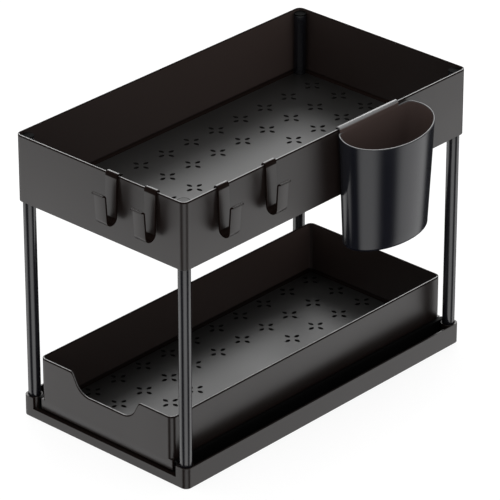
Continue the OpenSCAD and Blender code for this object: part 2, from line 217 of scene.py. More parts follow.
def finish_group():
    """Grain height, gloss, the tint with its painted highlights and painted sheen, and the shine that painted shade
    takes away, which every black finish shares.
    """
    group = bpy.data.node_groups.new("worn black finish", "ShaderNodeTree")
    face = group.interface
    for label, value in (("Grain Size", 900.0), ("Blotch Size", 9.0), ("Highlight Amount", 0.5)):
        socket = face.new_socket(label, in_out="INPUT", socket_type="NodeSocketFloat")
        socket.default_value = value
    for label in ("Base Dark", "Base Uneven And Highlight", "Base Inner Sheen"):
        face.new_socket(label, in_out="INPUT", socket_type="NodeSocketColor")
    for label, value in (("Gloss Low", 0.3), ("Gloss High", 0.5)):
        socket = face.new_socket(label, in_out="INPUT", socket_type="NodeSocketFloat")
        socket.default_value = value
    face.new_socket("Color", in_out="OUTPUT", socket_type="NodeSocketColor")
    face.new_socket("Roughness", in_out="OUTPUT", socket_type="NodeSocketFloat")
    face.new_socket("Height", in_out="OUTPUT", socket_type="NodeSocketFloat")
    face.new_socket("Shine", in_out="OUTPUT", socket_type="NodeSocketFloat")

    nodes, link = group.nodes, group.links.new
    into = nodes.new("NodeGroupInput")
    out = nodes.new("NodeGroupOutput")
    place = nodes.new("ShaderNodeTexCoord").outputs["Object"]

    grain = nodes.new("ShaderNodeTexNoise")
    grain.inputs["Detail"].default_value = 2.0
    link(place, grain.inputs["Vector"])
    link(into.outputs["Grain Size"], grain.inputs["Scale"])

    blotch = nodes.new("ShaderNodeTexNoise")
    blotch.inputs["Detail"].default_value = 4.0
    blotch.inputs["Roughness"].default_value = 0.6
    link(place, blotch.inputs["Vector"])
    link(into.outputs["Blotch Size"], blotch.inputs["Scale"])

    # Painted highlight: this attribute, broken up by the blotches, pales the colour on rim and strip tops
    painted_highlight = nodes.new("ShaderNodeAttribute")
    painted_highlight.attribute_name = "painted_highlight"
    highlight_and_uneven = nodes.new("ShaderNodeMath")
    highlight_and_uneven.operation = "MULTIPLY"
    link(painted_highlight.outputs["Fac"], highlight_and_uneven.inputs[0])
    link(blotch.outputs["Fac"], highlight_and_uneven.inputs[1])
    uneven = nodes.new("ShaderNodeMapRange")
    uneven.inputs["From Min"].default_value = BLOTCH_SPAN[0]
    uneven.inputs["From Max"].default_value = BLOTCH_SPAN[1]
    uneven.inputs["To Max"].default_value = UNEVEN_TONE
    link(blotch.outputs["Fac"], uneven.inputs["Value"])
    amount = nodes.new("ShaderNodeMath")
    amount.operation = "MULTIPLY_ADD"
    amount.use_clamp = True
    link(highlight_and_uneven.outputs[0], amount.inputs[0])
    link(into.outputs["Highlight Amount"], amount.inputs[1])
    link(uneven.outputs["Result"], amount.inputs[2])

    tint = nodes.new("ShaderNodeMix")
    tint.data_type = "RGBA"
    link(amount.outputs[0], tint.inputs["Factor"])
    # Painted sheen: the inner-face attribute mixes the dark towards a paler brown
    inside = nodes.new("ShaderNodeAttribute")
    inside.attribute_name = "inside"
    ground = nodes.new("ShaderNodeMix")
    ground.data_type = "RGBA"
    link(inside.outputs["Fac"], ground.inputs["Factor"])
    link(into.outputs["Base Dark"], ground.inputs["A"])
    link(into.outputs["Base Inner Sheen"], ground.inputs["B"])
    link(ground.outputs["Result"], tint.inputs["A"])
    link(into.outputs["Base Uneven And Highlight"], tint.inputs["B"])
    link(tint.outputs["Result"], out.inputs["Color"])

    gloss = nodes.new("ShaderNodeMapRange")
    gloss.inputs["From Min"].default_value = BLOTCH_SPAN[0]
    gloss.inputs["From Max"].default_value = BLOTCH_SPAN[1]
    link(blotch.outputs["Fac"], gloss.inputs["Value"])
    link(into.outputs["Gloss Low"], gloss.inputs["To Min"])
    link(into.outputs["Gloss High"], gloss.inputs["To Max"])
    link(gloss.outputs["Result"], out.inputs["Roughness"])
    link(grain.outputs["Fac"], out.inputs["Height"])

    # Painted shade: where the shade attribute is 1, the shine falls to almost nothing
    shade = nodes.new("ShaderNodeAttribute")
    shade.attribute_name = "shade"
    shine = nodes.new("ShaderNodeMapRange")
    shine.inputs["To Min"].default_value = FULL_SHINE
    shine.inputs["To Max"].default_value = PAINTED_SHADE_SHINE
    link(shade.outputs["Fac"], shine.inputs["Value"])
    link(shine.outputs["Result"], out.inputs["Shine"])
    return group


FINISH = finish_group()
# Paler brown of the sheen painted on inner faces
INNER_SHEEN_BROWN = (0.084, 0.06, 0.054)


def black_finish(name, dark, highlight_and_uneven, gloss, grain_depth, painted_highlight=0.5, metallic=0.0, shine=None):
    """A black surface with grain, uneven gloss and painted highlights; without a shine, the painted shade attribute
    sets it.
    """
    mat = bpy.data.materials.new(name)
    mat.use_nodes = True
    nodes, link = mat.node_tree.nodes, mat.node_tree.links.new
    shader = nodes["Principled BSDF"]
    shader.inputs["Metallic"].default_value = metallic
    finish = nodes.new("ShaderNodeGroup")
    finish.node_tree = FINISH
    finish.inputs["Highlight Amount"].default_value = painted_highlight
    finish.inputs["Base Dark"].default_value = (*dark, 1)
    finish.inputs["Base Uneven And Highlight"].default_value = (*highlight_and_uneven, 1)
    finish.inputs["Base Inner Sheen"].default_value = (*INNER_SHEEN_BROWN, 1)
    finish.inputs["Gloss Low"].default_value = gloss[0]
    finish.inputs["Gloss High"].default_value = gloss[1]
    bump = nodes.new("ShaderNodeBump")
    bump.inputs["Strength"].default_value = 0.35
    bump.inputs["Distance"].default_value = grain_depth
    link(finish.outputs["Height"], bump.inputs["Height"])
    link(finish.outputs["Color"], shader.inputs["Base Color"])
    link(finish.outputs["Roughness"], shader.inputs["Roughness"])
    link(bump.outputs["Normal"], shader.inputs["Normal"])
    if shine is None:
        link(finish.outputs["Shine"], shader.inputs["Specular IOR Level"])
    else:
        shader.inputs["Specular IOR Level"].default_value = shine
    return mat


MOULDED = black_finish(
    "moulded black plastic", (0.0075, 0.0043, 0.0035), (0.26, 0.26, 0.26), (0.28, 0.34), 0.00003, painted_highlight=1.0)
TRAY_BLACK = black_finish(
    "tray black plastic", (0.0075, 0.0043, 0.0035), (0.26, 0.26, 0.26), (0.34, 0.4), 0.00003, painted_highlight=1.0)
BASE_BLACK = black_finish(
    "base black plastic", (0.0075, 0.0043, 0.0035), (0.26, 0.26, 0.26), (0.28, 0.34), 0.00003, painted_highlight=1.0, shine=0.42)
FLOOR_BLACK = black_finish(
    "moulded floor plastic", (0.006, 0.0055, 0.005), (0.6, 0.6, 0.6), (0.35, 0.41), 0.00003)
CUP_BLACK = black_finish(
    "cup black plastic", (0.0036, 0.0039, 0.0068), (0.26, 0.26, 0.26), (0.17, 0.22), 0.00002, painted_highlight=1.0)
LACQUER = black_finish(
    "black lacquered tube", (0.006, 0.006, 0.008), (0.04, 0.04, 0.045), (0.16, 0.22), 0.00001, shine=0.8)
CAP_BLACK = black_finish(
    "cap black plastic", (0.001, 0.001, 0.001), (0.02, 0.02, 0.02), (0.5, 0.6), 0.00003)
# The rails and runners are painted almost black with hardly any shine, as painted shade, so they sink into the dark
# under the drawer
RAIL_PAINTED_SHADE = black_finish(
    "rail black lacquer", (0.002, 0.002, 0.002), (0.02, 0.02, 0.02), (0.5, 0.6), 0.00002, shine=0.05)
ZINC = black_finish(
    "zinc screw", (0.45, 0.45, 0.46), (0.6, 0.6, 0.6), (0.3, 0.4), 0.00002, metallic=1.0, shine=0.5)

for node, mat in (("rail_left", RAIL_PAINTED_SHADE), ("rail_right", RAIL_PAINTED_SHADE),
                  ("runner_left", RAIL_PAINTED_SHADE), ("runner_right", RAIL_PAINTED_SHADE),
                  ("base_screws", ZINC), ("tray_studs", ZINC)):
    bpy.data.objects[node].data.materials.clear()
    bpy.data.objects[node].data.materials.append(mat)
print("finishes:", len(bpy.data.materials))

# %% [markdown]
# ## Helpers for surfaces
# Almost every piece here is a strip, a ring or a round, which is to say a grid of points bent
# into shape. One helper numbers the faces of such a grid, and one turns points and faces into a
# finished piece that rides on its body.

# %% Grid and piece helpers
SMOOTH_ANGLE = math.radians(30)


def grid_faces(rows, columns, close_rows=False, close_columns=False):
    """Quads between neighbours of a rows x columns grid; closing joins the last to the first."""
    last_row = rows if close_rows else rows - 1
    last_column = columns if close_columns else columns - 1
    i, j = np.meshgrid(np.arange(last_row), np.arange(last_column), indexing="ij")
    up, along = (i + 1) % rows, (j + 1) % columns
    return np.stack([i * columns + j, i * columns + along, up * columns + along, up * columns + j], -1).reshape(-1, 4)


def make_piece(name, points, faces, mat, body, node, slot, painted_highlight=None, shade=None, inside=None):
    """A mesh object from arrays, smooth except at edges sharper than SMOOTH_ANGLE."""
    mesh = bpy.data.meshes.new(name)
    mesh.from_pydata(np.asarray(points).reshape(-1, 3).tolist(), [], [list(f) for f in faces])
    mesh.shade_smooth()
    mesh.set_sharp_from_angle(angle=SMOOTH_ANGLE)
    for label, values in (("painted_highlight", painted_highlight), ("shade", shade), ("inside", inside)):
        if values is not None:
            mesh.attributes.new(label, "FLOAT", "POINT").data.foreach_set("value", np.asarray(values, float).ravel())
    mesh.materials.append(mat)
    piece = bpy.data.objects.new(name, mesh)
    bpy.context.collection.objects.link(piece)
    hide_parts(node)
    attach(piece, body)
    print(name, len(mesh.vertices), "points,", len(mesh.polygons), "faces")
    return piece


# %% [markdown]
# ## Walls of a tray
# The walls of a moulded tray are one ring: the same cross-section carried round a rounded
# rectangle. Each row of the grid is such a rectangle with its own inset, corner radius and
# height, so the rim's round edges, the cove at the wall's foot and the drawer's scooped front
# all come from the list of rows.

# %% Ring helpers
CORNER_STEPS = 12
EDGE_STEPS = 3
HELD = 0.3 * MM
RIM_ROWS = 2 * (EDGE_STEPS + 2)


def rounded_outline(half_w, half_d, radius, front_x=()):
    """Points round a rectangle with round corners, anticlockwise from the front left corner."""
    turn = np.linspace(0, np.pi / 2, CORNER_STEPS + 1)
    corners = []
    for sx, sy, start in ((-1, -1, np.pi), (1, -1, 1.5 * np.pi), (1, 1, 0.0), (-1, 1, 0.5 * np.pi)):
        centre = np.array([sx * (half_w - radius), sy * (half_d - radius)])
        corners.append(centre + radius * np.stack([np.cos(start + turn), np.sin(start + turn)], -1))
    front = np.stack([np.asarray(front_x, float), np.full(len(front_x), -half_d)], -1)
    return np.concatenate([corners[0], front, *corners[1:]])


def rim_rows(thickness, edge):
    """Inset and drop over the rim: a held row, the outer round, the flat top, the inner round, a held row."""
    a = np.linspace(0, np.pi / 2, EDGE_STEPS + 1)
    outer = np.stack([edge * (1 - np.cos(a)), edge * (1 - np.sin(a))], -1)
    outer = np.concatenate([[(0.0, edge + HELD)], outer])
    inner = np.stack([thickness - outer[::-1, 0], outer[::-1, 1]], -1)
    return np.concatenate([outer, inner])


def ring(rows, front_x=()):
    """Rows of (half width, half depth, corner radius, height), with height one number or one per point."""
    return np.stack([
        np.column_stack([outline, np.broadcast_to(z, len(outline))])
        for outline, z in ((rounded_outline(w, d, r, front_x), z) for w, d, r, z in rows)])


# %% [markdown]
# ## Pierced floors
# The floors of the upper tray and the drawer have the same pattern: motifs of four petals on a
# square grid, with three left out in the middle. A petal is the lens between two equal arcs. A
# flat curve with the petals as inner loops fills itself, and its own bevel rounds the holes'
# edges, which a cut mesh would leave sharp.

# %% Pierced floor
PETAL_LENGTH = 6.8 * MM
PETAL_WIDTH = 3.7 * MM
PETAL_OUT = 6.5 * MM
MOTIF_PITCH = 34.3 * MM
MOTIF_COLUMNS = 2
MOTIF_ROWS = 5
HOLE_EDGE = 0.06 * MM


def petal_loop(steps=9):
    """The lens of two arcs through both tips, pointing along +X, centred on its place in a motif."""
    radius = ((PETAL_LENGTH / 2) ** 2 + (PETAL_WIDTH / 2) ** 2) / PETAL_WIDTH
    half_angle = math.asin(PETAL_LENGTH / 2 / radius)
    a = np.linspace(-half_angle, half_angle, steps)
    x = radius * np.sin(a)
    y = radius * np.cos(a) - (radius - PETAL_WIDTH / 2)
    return np.concatenate([np.column_stack([x, y]), np.column_stack([x[-2:0:-1], -y[-2:0:-1]])]) + (PETAL_OUT, 0)


def petal_field():
    """All petals of one floor: four turns of a petal at each grid point, but not in the middle three."""
    quarter = np.arange(4) * np.pi / 2
    turns = np.stack([np.stack([np.cos(quarter), -np.sin(quarter)], -1),
                      np.stack([np.sin(quarter), np.cos(quarter)], -1)], 1)
    motif = np.einsum("tij,pj->tpi", turns, petal_loop())
    columns = np.arange(-MOTIF_COLUMNS, MOTIF_COLUMNS + 1)
    rows = np.arange(-MOTIF_ROWS, MOTIF_ROWS + 1)
    places = np.array([(c, r) for c in columns for r in rows if c or abs(r) > 1]) * MOTIF_PITCH
    return (places[:, None, None] + motif[None]).reshape(-1, motif.shape[1], 2)


def pierced_floor(name, half_w, half_d, radius, z_low, z_high, centre_y=0.0):
    """A flat plate between two heights with petal holes, whose bevel is taken off inside its outline."""
    curve = bpy.data.curves.new(name, "CURVE")
    curve.dimensions = "2D"
    curve.fill_mode = "BOTH"
    curve.extrude = (z_high - z_low) / 2 - HOLE_EDGE
    curve.bevel_depth = HOLE_EDGE
    curve.bevel_resolution = 1
    curve.offset = -HOLE_EDGE
    for loop in [rounded_outline(half_w, half_d, radius), *petal_field()]:
        spline = curve.splines.new("POLY")
        spline.points.add(len(loop) - 1)
        flat = np.column_stack([loop[:, 0], loop[:, 1] + centre_y, np.zeros(len(loop)), np.ones(len(loop))])
        spline.points.foreach_set("co", flat.ravel())
        spline.use_cyclic_u = True
    maker = bpy.data.objects.new(name, curve)
    bpy.context.collection.objects.link(maker)
    bpy.context.view_layer.update()
    mesh = bpy.data.meshes.new_from_object(maker.evaluated_get(bpy.context.evaluated_depsgraph_get()))
    bpy.data.objects.remove(maker)
    points = np.empty(len(mesh.vertices) * 3)
    mesh.vertices.foreach_get("co", points)
    points = points.reshape(-1, 3)
    points[:, 2] += (z_low + z_high) / 2
    faces = [tuple(p.vertices) for p in mesh.polygons]
    bpy.data.meshes.remove(mesh)
    edge = np.abs(points[:, 2] - (z_low + z_high) / 2) < (z_high - z_low) / 2 - 0.01 * MM
    return points, faces, edge


# %% Upper tray
WALL = 1.8 * MM
FLOOR = 2.4 * MM
TRAY_CORNER = 6.2 * MM
COVE = 3.0 * MM
RIM_EDGE = 0.45 * MM
# Height of the painted shade line under the rim's outer round
RIM_LINE = 0.9 * MM
FOOT_EDGE = 0.8 * MM
TRAY_HOLE_SHADE = 1.0
# Share of painted sheen on inner faces at the two ends of the left wall, and from left to right on the others
LEFT_SHEEN = (0.2, 0.7)
BACK_SHEEN = (0.22, 0.04)


def tray_rows(half_w, half_d, corner, z_low, z_rim):
    """A tray wall's closed cross-section from its outer foot, over the rim, down to the cove."""
    rows = [(half_w - FOOT_EDGE, half_d - FOOT_EDGE, corner - FOOT_EDGE, z_low)]
    for a in np.linspace(0, np.pi / 2, EDGE_STEPS + 1)[1:]:
        inset = FOOT_EDGE * (1 - math.sin(a))
        rows.append((half_w - inset, half_d - inset, corner - inset, z_low + FOOT_EDGE * (1 - math.cos(a))))
    rows.append((half_w, half_d, corner, z_rim - RIM_EDGE - RIM_LINE - HELD))
    rows.append((half_w, half_d, corner, z_rim - RIM_EDGE - RIM_LINE))
    for inset, drop in rim_rows(WALL, RIM_EDGE):
        rows.append((half_w - inset, half_d - inset, corner - inset, z_rim - drop))
    floor_top = z_low + FLOOR
    rows.append((half_w - WALL, half_d - WALL, corner - WALL, floor_top + COVE + HELD))
    for a in np.linspace(0, np.pi / 2, EDGE_STEPS + 2):
        inset = WALL + COVE * (1 - math.cos(a))
        rows.append((half_w - inset, half_d - inset, corner - inset, floor_top + COVE * (1 - math.sin(a))))
    rows.append((half_w - WALL, half_d - WALL, corner - WALL, floor_top - 0.4 * MM))
    rows.append((half_w - WALL, half_d - WALL, corner - WALL, z_low))
    return rows


def ring_masks(points, rim_start, middle_y):
    """Masks of a tray's ring, whose rim's rows start at rim_start: painted highlight, painted shade and painted inner
    sheen.
    """
    painted_highlight, shade, inside = np.zeros((3, *points.shape[:2]))
    rim_end = rim_start + RIM_ROWS
    x = points[rim_start, :, 0] / np.ptp(points[rim_start, :, 0])
    y = (points[rim_start, :, 1] - middle_y) / np.ptp(points[rim_start, :, 1])
    to_eye = x > y
    # Painted highlight on the rim's flat top on the sides towards the eye
    painted_highlight[rim_start + EDGE_STEPS + 1:rim_start + EDGE_STEPS + 3] = to_eye
    # Painted shade on a line under the rim, on the rim away from the eye, and in the cove and below it
    shade[rim_start - 1:rim_start + EDGE_STEPS + 1] = 1.0
    shade[rim_start + 1:rim_end - 1] = np.maximum(shade[rim_start + 1:rim_end - 1], ~to_eye)
    shade[rim_end + 2:] = 1.0
    # Painted sheen on the inner faces
    on_left = -x > np.abs(y)
    sheen = np.where(on_left, np.interp(y, (-0.5, 0.5), LEFT_SHEEN), np.interp(x, (-0.5, 0.5), BACK_SHEEN))
    inside[rim_end - 1:rim_end + 1] = sheen
    return painted_highlight, shade, inside


tray_lo, tray_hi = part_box("upper_tray")
tray_half_w, tray_half_d = tray_hi.x, tray_hi.y
wall_points = ring(tray_rows(tray_half_w, tray_half_d, TRAY_CORNER, tray_lo.z, tray_hi.z))
wall_masks = ring_masks(wall_points, EDGE_STEPS + 3, 0.0)
make_piece("upper_tray_walls", wall_points, grid_faces(*wall_points.shape[:2], True, True), TRAY_BLACK,
           "stand", "upper_tray", "tray_plastic", *wall_masks)
floor_points, floor_faces, floor_shade = pierced_floor(
    "upper_tray_floor", tray_half_w - WALL, tray_half_d - WALL, TRAY_CORNER - WALL, tray_lo.z, tray_lo.z + FLOOR)
# The holes' walls carry painted shade and lose their shine
make_piece("upper_tray_floor", floor_points, floor_faces, FLOOR_BLACK, "stand", "upper_tray", "tray_plastic",
           shade=TRAY_HOLE_SHADE * floor_shade)

# %% [markdown]
# ## Drawer
# The drawer's ring has a square-cornered plinth under its round-cornered walls, and its front
# wall dips in a scoop for the fingers: a level bottom, a wide round, a steep flank and a small
# round up to the rim.

# %% Drawer
DRAWER_CORNER = 6.0 * MM
PLINTH_HEIGHT = 10.5 * MM
PLINTH_CORNER = 0.6 * MM
SCOOP_DEPTH = 20.0 * MM
SCOOP_LEVEL_HALF = 21.5 * MM
SCOOP_FOOT_RADIUS = 19.0 * MM
SCOOP_TOP_RADIUS = 4.5 * MM
SCOOP_FLANK = math.radians(63)
DRAWER_HOLE_SHADE = 0.5


def scoop_points():
    """Half of the scoop's edge as x and drop: foot arc, straight flank, top arc, from the middle out."""
    a = np.linspace(0, SCOOP_FLANK, 11)
    foot_x = SCOOP_LEVEL_HALF + SCOOP_FOOT_RADIUS * np.sin(a)
    foot_drop = SCOOP_DEPTH - SCOOP_FOOT_RADIUS * (1 - np.cos(a))
    b = np.linspace(SCOOP_FLANK, 0, 7)
    top_drop = SCOOP_TOP_RADIUS * (1 - np.cos(b))
    run = (foot_drop[-1] - top_drop[0]) / math.tan(SCOOP_FLANK)
    top_x = foot_x[-1] + run + SCOOP_TOP_RADIUS * (math.sin(SCOOP_FLANK) - np.sin(b))
    return np.concatenate([foot_x, top_x]), np.concatenate([foot_drop, top_drop])


drawer_lo, drawer_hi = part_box("drawer")
drawer_half_w = drawer_hi.x
drawer_half_d = (drawer_hi.y - drawer_lo.y) / 2
drawer_mid_y = (drawer_hi.y + drawer_lo.y) / 2
plinth_z = drawer_lo.z + PLINTH_HEIGHT
scoop_x, scoop_drop = scoop_points()
front_x = np.concatenate([-scoop_x[::-1], scoop_x])
front_drop = np.concatenate([scoop_drop[::-1], scoop_drop])
rim_z = np.full(4 * (CORNER_STEPS + 1) + len(front_x), drawer_hi.z)
rim_z[CORNER_STEPS + 1:CORNER_STEPS + 1 + len(front_x)] -= front_drop

rows = []
for inset, z in ((0.5 * MM, 0.0), (0.15 * MM, 0.15 * MM), (0.0, 0.5 * MM)):
    rows.append((drawer_half_w - inset, drawer_half_d - inset, PLINTH_CORNER, drawer_lo.z + z))
rows.append((drawer_half_w, drawer_half_d, PLINTH_CORNER, plinth_z))
rows.append((drawer_half_w, drawer_half_d, DRAWER_CORNER, plinth_z + 0.15 * MM))
rows.append((drawer_half_w, drawer_half_d, DRAWER_CORNER, rim_z - RIM_EDGE - RIM_LINE - HELD))
rows.append((drawer_half_w, drawer_half_d, DRAWER_CORNER, rim_z - RIM_EDGE - RIM_LINE))
rim_start = len(rows)
for inset, drop in rim_rows(WALL, RIM_EDGE):
    rows.append((drawer_half_w - inset, drawer_half_d - inset, DRAWER_CORNER - inset, rim_z - drop))
rows.append((drawer_half_w - WALL, drawer_half_d - WALL, DRAWER_CORNER - WALL, drawer_lo.z + FLOOR + COVE + HELD))
for a in np.linspace(0, np.pi / 2, EDGE_STEPS + 2):
    inset = WALL + COVE * (1 - math.cos(a))
    z = drawer_lo.z + FLOOR + COVE * (1 - math.sin(a))
    rows.append((drawer_half_w - inset, drawer_half_d - inset, DRAWER_CORNER - inset, z))
rows.append((drawer_half_w - WALL, drawer_half_d - WALL, DRAWER_CORNER - WALL, drawer_lo.z + FLOOR - 0.4 * MM))
rows.append((drawer_half_w - WALL, drawer_half_d - WALL, DRAWER_CORNER - WALL, drawer_lo.z))
drawer_points = ring(rows, front_x)
drawer_points[..., 1] += drawer_mid_y
make_piece("drawer_walls", drawer_points, grid_faces(*drawer_points.shape[:2], True, True), MOULDED,
           "pull_out_drawer", "drawer", "drawer_plastic", *ring_masks(drawer_points, rim_start, drawer_mid_y))
floor_points, floor_faces, floor_shade = pierced_floor(
    "drawer_floor", drawer_half_w - WALL, drawer_half_d - WALL, DRAWER_CORNER - WALL,
    drawer_lo.z, drawer_lo.z + FLOOR, drawer_mid_y)
# The drawer's hole walls carry half that painted shade
make_piece("drawer_floor", floor_points, floor_faces, FLOOR_BLACK, "pull_out_drawer", "drawer", "drawer_plastic",
           shade=DRAWER_HOLE_SHADE * floor_shade)

# %% [markdown]
# ## Base tray
# The base is a moulded pan with returns, sockets and ribs, too many joined forms for one grid.
# Its solid is already exact, so a copy of its mesh is cleaned to whole faces and a small bevel
# rounds every edge, as the mould does.

# %% Base tray
BASE_EDGE = 0.4 * MM
source = bpy.data.objects["base_tray"].data
bm = bmesh.new()
bm.from_mesh(source)
bmesh.ops.remove_doubles(bm, verts=bm.verts, dist=0.001 * MM)
bmesh.ops.dissolve_limit(bm, angle_limit=math.radians(0.5), verts=bm.verts, edges=bm.edges)
base_mesh = bpy.data.meshes.new("base_tray_moulding")
bm.to_mesh(base_mesh)
bm.free()
base_mesh.materials.clear()
base_mesh.materials.append(BASE_BLACK)
base_mesh.shade_smooth()
base_mesh.set_sharp_from_angle(angle=SMOOTH_ANGLE)
base_piece = bpy.data.objects.new("base_tray_moulding", base_mesh)
bpy.context.collection.objects.link(base_piece)
bevel = base_piece.modifiers.new("moulded edges", "BEVEL")
bevel.width = BASE_EDGE
bevel.segments = 2
bevel.limit_method = "ANGLE"
bevel.angle_limit = SMOOTH_ANGLE
bevel.harden_normals = True
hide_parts("base_tray")
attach(base_piece, "stand")
print("base faces", len(base_mesh.polygons))

# %% [markdown]
# ## Poles and posts
# A pole is a round tube: a profile of radius against height turned about its own axis, with a
# small round at each end.

# %% Poles and posts
ROUND_STEPS = 48
TUBE_EDGE = 0.5 * MM


def turned(profile, x, y):
    """Points of a profile (radius, height) turned about the upright axis through x, y."""
    a = np.linspace(0, 2 * np.pi, ROUND_STEPS, endpoint=False)
    r, z = np.asarray(profile).T
    return np.stack([x + r[:, None] * np.cos(a), y + r[:, None] * np.sin(a), np.repeat(z[:, None], ROUND_STEPS, 1)], -1)


for kind, slot in (("pole", "pole_paint"), ("post", "pole_paint")):
    for corner in ("front_left", "front_right", "back_left", "back_right"):
        node = f"{kind}_{corner}"
        lo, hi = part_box(node)
        radius = (hi.x - lo.x) / 2
        e = TUBE_EDGE
        profile = [(0.0005 * MM, lo.z), (radius - e, lo.z), (radius - 0.3 * e, lo.z + 0.3 * e), (radius, lo.z + e)]
        profile += [(radius, z) for z in np.linspace(lo.z + e, hi.z - e, 6)[1:]]
        profile += [(radius - 0.3 * e, hi.z - 0.3 * e), (radius - e, hi.z), (0.0005 * MM, hi.z)]
        points = turned(profile, (lo.x + hi.x) / 2, (lo.y + hi.y) / 2)
        make_piece(f"{node}_tube", points, grid_faces(*points.shape[:2], False, True), LACQUER, "stand", node, slot)

# %% [markdown]
# ## Post caps
# Each post is closed by a thin disc on a plug. All four share one finish. The disc nearest the eye
# keeps its shine on top and takes a sheen there, inside a ring of painted shade; the other three are painted shade all
# over.

# %% Post caps
CAP_THICKNESS = 1.2 * MM
CAP_EDGE = 0.2 * MM
CAP_RING = 1.6 * MM
TUBE_WALL = 1.2 * MM
CAP_CORNERS = ("front_right", "front_left", "back_left", "back_right")

cap_lo, cap_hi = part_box("post_caps")
caps = []
for corner in CAP_CORNERS:
    lo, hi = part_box(f"post_{corner}")
    radius = (hi.x - lo.x) / 2
    plug = radius - TUBE_WALL
    disc_z = cap_hi.z - CAP_THICKNESS
    profile = [(0.0005 * MM, cap_lo.z), (plug, cap_lo.z), (plug, disc_z), (radius, disc_z),
               (radius, cap_hi.z - CAP_EDGE), (radius - CAP_EDGE, cap_hi.z), (radius - CAP_RING, cap_hi.z),
               (0.0005 * MM, cap_hi.z)]
    caps.append(turned(profile, (lo.x + hi.x) / 2, (lo.y + hi.y) / 2))
cap_points = np.stack(caps)
cap_shade = np.ones(cap_points.shape[:3])
# Painted shade on every cap but the one nearest the eye, and on that one's outer ring
cap_shade[0, -2:] = 0.0
one_cap = grid_faces(*cap_points.shape[1:3], False, True)
cap_faces = np.concatenate([one_cap + k * cap_shade[0].size for k in range(len(caps))])
make_piece("post_caps_discs", cap_points, cap_faces, CAP_BLACK, "stand", "post_caps", "cap_plastic", shade=cap_shade)

# %% [markdown]
# ## Strips
# The hooks and the cup's hanging lip are flat strips bent round the tray's rim. A strip is a
# rounded oblong section carried along a bent line: at each station the section stands square
# to the line, and the last stations draw in, so the ends are round too.

# %% Strip helper
SECTION_STEPS = 3


def strip_section(width, thickness, edge):
    """A rounded oblong as (across, through) points, anticlockwise."""
    turn = np.linspace(0, np.pi / 2, SECTION_STEPS + 1)
    parts = []
    for sa, st, start in ((1, 1, 0.0), (-1, 1, 0.5 * np.pi), (-1, -1, np.pi), (1, -1, 1.5 * np.pi)):
        centre = np.array([sa * (width / 2 - edge), st * (thickness / 2 - edge)])
        parts.append(centre + edge * np.stack([np.cos(start + turn), np.sin(start + turn)], -1))
    return np.concatenate(parts)


def bent_strip(line, width, thickness, edge):
    """Rows (out, up, across): the section square to the line, drawn in at both ends and closed."""
    line = np.asarray(line, float)
    way = np.gradient(line, axis=0)
    way /= np.linalg.norm(way, axis=1, keepdims=True)
    side = np.column_stack([-way[:, 1], way[:, 0]])
    ends = np.linspace(0, np.pi / 2, 4)
    rows = []

    def row(point, direction, normal, along, draw_in):
        section = strip_section(width, thickness, edge)
        limit = np.array([width / 2 - draw_in, thickness / 2 - draw_in]) / np.array([width / 2, thickness / 2])
        section = section * limit
        flat = point + direction * along + normal * section[:, 1:2]
        rows.append(np.column_stack([flat, section[:, 0]]))

    row(line[0], way[0], side[0], 0.0, thickness / 2 - 0.0005 * MM)
    for a in ends:
        row(line[0], way[0], side[0], edge * (1 - math.sin(a)), edge * (1 - math.sin(a)))
    for k in range(1, len(line) - 1):
        row(line[k], way[k], side[k], 0.0, 0.0)
    for a in ends[::-1]:
        row(line[-1], way[-1], side[-1], -edge * (1 - math.sin(a)), edge * (1 - math.sin(a)))
    row(line[-1], way[-1], side[-1], 0.0, thickness / 2 - 0.0005 * MM)
    return np.stack(rows)


def arc(x, y, r, start, end, steps=10):
    """Points of an arc about x, y, in degrees."""
    a = np.radians(np.linspace(start, end, steps + 1))
    return np.column_stack([x + r * np.cos(a), y + r * np.sin(a)])


# %% Hooks
HOOK_WIDTH = 14.0 * MM
HOOK_THICKNESS = 1.8 * MM
HOOK_EDGE = 0.25 * MM
RIM_GAP = 0.3 * MM
HOOK_DROP = 46.5 * MM
CLIP_DROP = 9.0 * MM
HOOK_STAND_OFF = 0.3 * MM
HOOK_LEAN = 1.6 * MM
BEND_RADIUS = 5.0 * MM
PRONG_HEIGHT = 23.0 * MM
TIP_RADIUS = 3.0 * MM
TIP_END = 82
TIP_STEPS = 12
TIP_SHADE = 0.25
BEND_STEPS = 6
FOOT_STEPS = 24
FOOT_PAINTED_SHADE = (1, 19)
SHADED_PLATE = 1.5 * MM
END_ROWS = 4


def hook_line():
    """The hook's middle line as (out from the wall, up from the rim)."""
    mid_r = BEND_RADIUS + HOOK_THICKNESS / 2
    clip_r = HOOK_THICKNESS
    top = RIM_GAP + HOOK_THICKNESS / 2
    inner = -WALL - RIM_GAP - HOOK_THICKNESS / 2
    outer = HOOK_STAND_OFF + HOOK_THICKNESS / 2
    bend_up = -HOOK_DROP + mid_r + HOOK_THICKNESS / 2
    bend_out = outer + HOOK_LEAN + mid_r
    tip_out = bend_out + mid_r + HOOK_LEAN + TIP_RADIUS
    lean = HOOK_LEAN / (top - clip_r - bend_up)
    held = [(outer + lean * drop, top - clip_r - drop) for drop in (SHADED_PLATE, SHADED_PLATE + HELD)]
    return np.concatenate([
        [(inner, -CLIP_DROP)], [(inner, -CLIP_DROP / 2)],
        arc(inner + clip_r, top - clip_r, clip_r, 180, 90, BEND_STEPS),
        arc(outer - clip_r, top - clip_r, clip_r, 90, 0, BEND_STEPS),
        held,
        arc(bend_out, bend_up, mid_r, 180, 360, FOOT_STEPS),
        arc(tip_out, bend_up + PRONG_HEIGHT, TIP_RADIUS, 180, TIP_END, TIP_STEPS)])


